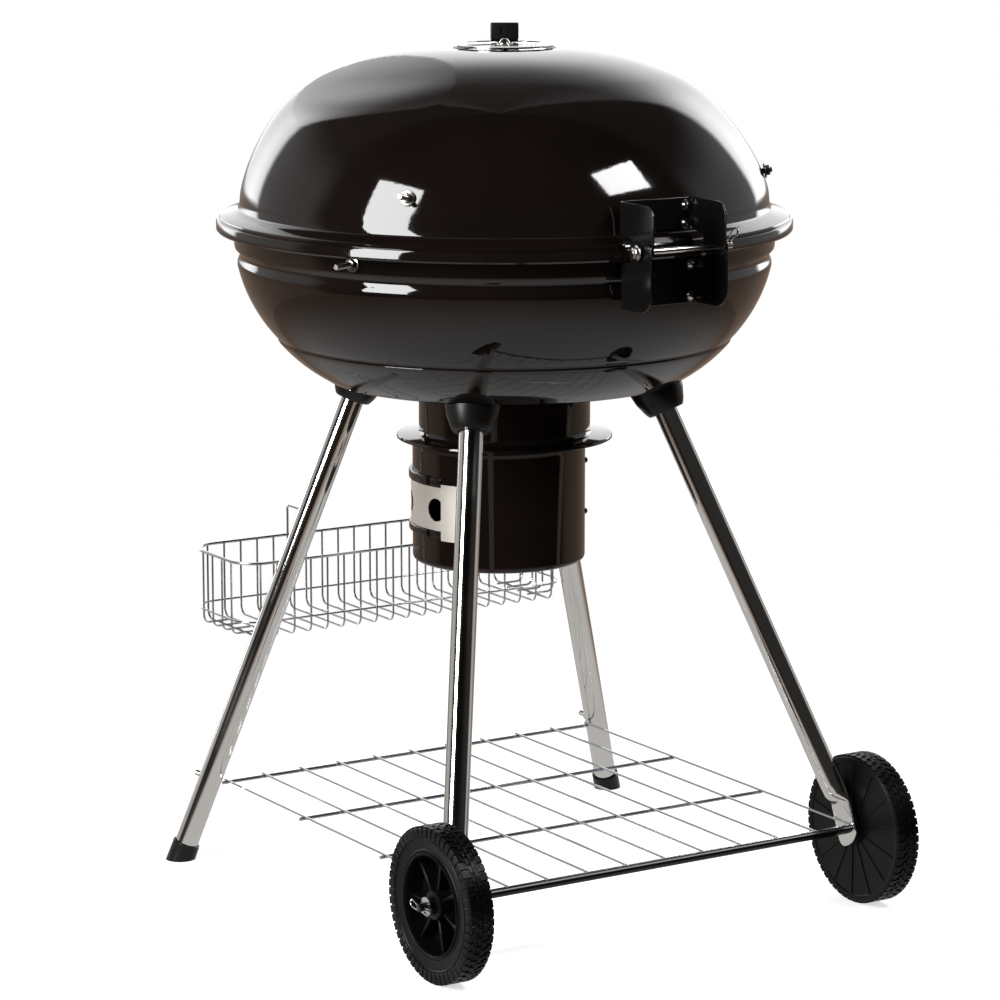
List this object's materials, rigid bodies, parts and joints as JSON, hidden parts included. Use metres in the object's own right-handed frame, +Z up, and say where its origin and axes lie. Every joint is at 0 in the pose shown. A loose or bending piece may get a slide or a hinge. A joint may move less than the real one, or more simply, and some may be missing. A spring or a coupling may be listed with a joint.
{
  "type": "kettle charcoal grill",
  "caption": "Round kettle charcoal grill with a hinged domed lid on a legged stand with wheels, a wire shelf, a wire basket and an ash can under its bowl.",
  "frame": {"origin": "on the floor under the middle of the whole grill", "axes": "+Z up; the front, with the lid handle and the basket, faces -Y, and the hinge and the wheels are at +Y; the axle runs along X"},
  "size_m": [0.6002, 0.712, 0.908],
  "materials": {
    "black_enamel": "high gloss porcelain enamel",
    "black_plastic": "satin moulded plastic",
    "black_steel": "semi-gloss black paint",
    "chrome": "polished chrome plate",
    "plated_wire": "bright plated wire",
    "galvanised": "bare satin sheet metal",
    "grate_steel": "bare bright steel"
  },
  "bodies": {
    "kettle": {"axle": "black_steel", "axle_clip_left": "chrome", "axle_clip_right": "chrome", "axle_washer_left": "chrome", "axle_washer_right": "chrome", "basket_hook_left": "plated_wire", "basket_hook_right": "plated_wire", "bottom_shelf": "plated_wire", "bowl": "black_enamel", "bowl_collar": "black_enamel", "bowl_stud_1": "chrome", "bowl_stud_2": "chrome", "bowl_stud_3": "chrome", "charcoal_grate": "grate_steel", "cooking_grate": "grate_steel", "foot_cap_left": "black_plastic", "foot_cap_right": "black_plastic", "grate_clip_1": "plated_wire", "grate_clip_2": "plated_wire", "grate_clip_3": "plated_wire", "hinge_bowl_bracket": "black_steel", "hinge_bowl_screw_1": "chrome", "hinge_bowl_screw_2": "chrome", "hinge_bowl_screw_3": "chrome", "hinge_bowl_screw_4": "chrome", "hinge_clip": "chrome", "hinge_pin": "chrome", "leg_back_left": "chrome", "leg_back_right": "chrome", "leg_front_left": "chrome", "leg_front_right": "chrome", "leg_socket_back_left": "black_plastic", "leg_socket_back_right": "black_plastic", "leg_socket_front_left": "black_plastic", "leg_socket_front_right": "black_plastic", "shelf_bolt_left": "chrome", "shelf_bolt_right": "chrome", "wire_basket": "plated_wire"},
    "lid": {"hinge_lid_bracket": "black_steel", "hinge_lid_screw_1": "chrome", "hinge_lid_screw_2": "chrome", "hinge_lid_screw_3": "chrome", "hinge_lid_screw_4": "chrome", "lid": "black_enamel", "lid_handle_grip": "black_plastic", "lid_handle_nut_left": "chrome", "lid_handle_nut_right": "chrome", "lid_handle_rod": "chrome", "lid_stud_1": "chrome", "lid_stud_2": "chrome", "lid_stud_3": "chrome", "vent_screw": "chrome"},
    "vent": {"vent_damper": "chrome", "vent_grip": "black_plastic"},
    "can": {"ash_can": "black_enamel", "damper_rail_lower": "black_steel", "damper_rail_upper": "black_steel"},
    "damper": {"ash_damper": "galvanised"},
    "wheel_r": {"wheel_right": "black_plastic"},
    "wheel_l": {"wheel_left": "black_plastic"}
  },
  "joints": [
    {"name": "lid_hinge", "type": "hinge", "parent": "kettle", "child": "lid", "pos_m": [0, 0.3015, 0.709], "axis": [-1, 0, 0], "range_deg": [0, 95]},
    {"name": "vent_turn", "type": "hinge", "parent": "lid", "child": "vent", "pos_m": [0, -0.0185, 0.8885], "axis": [0, 0, 1], "range_deg": [0, 45]},
    {"name": "can_drop", "type": "slide", "parent": "kettle", "child": "can", "axis": [0, 0, -1], "range_m": [0, 0.1]},
    {"name": "damper_turn", "type": "hinge", "parent": "can", "child": "damper", "pos_m": [0.0051, -0.0217, 0.4], "axis": [0, 0, 1], "range_deg": [0, 19]},
    {"name": "wheel_right_spin", "type": "hinge", "parent": "kettle", "child": "wheel_r", "pos_m": [0.25875, 0.2772, 0.0788], "axis": [1, 0, 0], "continuous": true},
    {"name": "wheel_left_spin", "type": "hinge", "parent": "kettle", "child": "wheel_l", "pos_m": [-0.25875, 0.2772, 0.0788], "axis": [1, 0, 0], "continuous": true}
  ]
}
